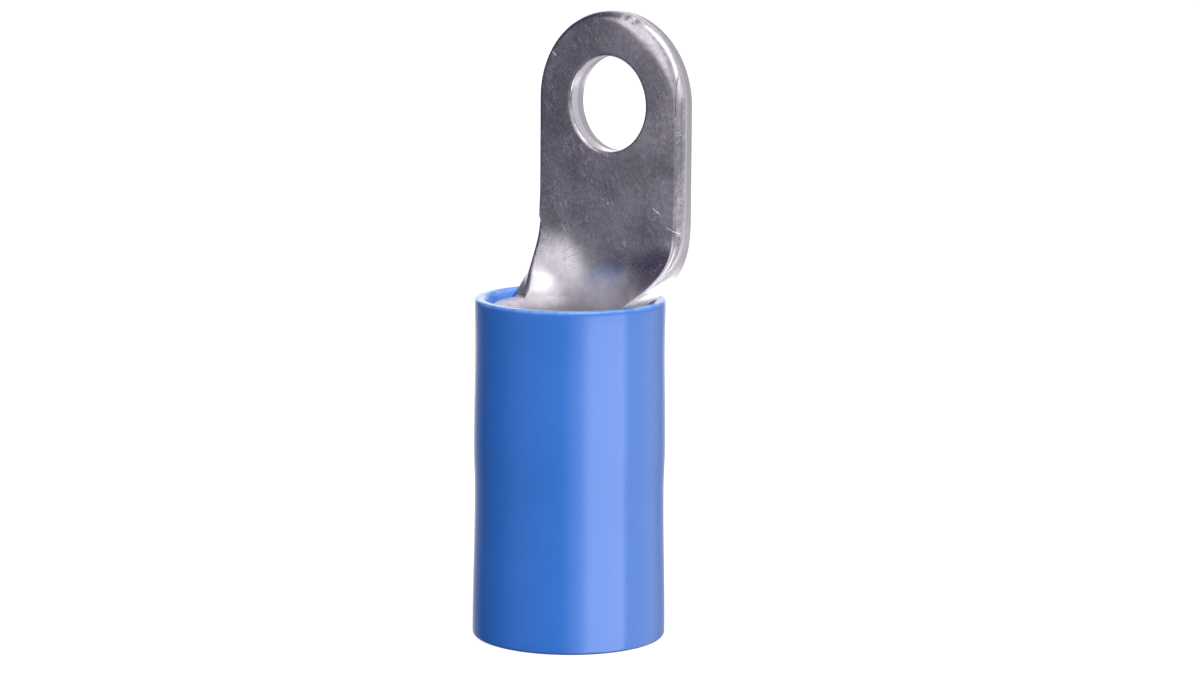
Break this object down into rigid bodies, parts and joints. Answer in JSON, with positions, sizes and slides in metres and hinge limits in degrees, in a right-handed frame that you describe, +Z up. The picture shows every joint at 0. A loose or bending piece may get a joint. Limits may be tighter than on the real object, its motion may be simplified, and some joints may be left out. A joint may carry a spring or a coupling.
{
  "type": "ring terminal",
  "caption": "Insulated ring terminal: flat round-ended tongue with a stud hole, scooped neck, rolled wire barrel and a tubular blue sleeve.",
  "frame": {"origin": "centre of the sleeve's wire end, on the plane that it stands on", "axes": "+Z up the barrel's axis towards the tongue; the tongue lies flat on the +Y side, its back face outwards; +X across the tongue"},
  "size_m": [0.0108, 0.0108, 0.0347],
  "materials": {
    "tinned_copper": "smooth bright tin plating with fine scuffs",
    "blue_sleeve": "smooth satin gloss"
  },
  "bodies": {
    "root": {"terminal_body": "tinned_copper", "insulating_sleeve": "blue_sleeve"}
  },
  "joints": []
}
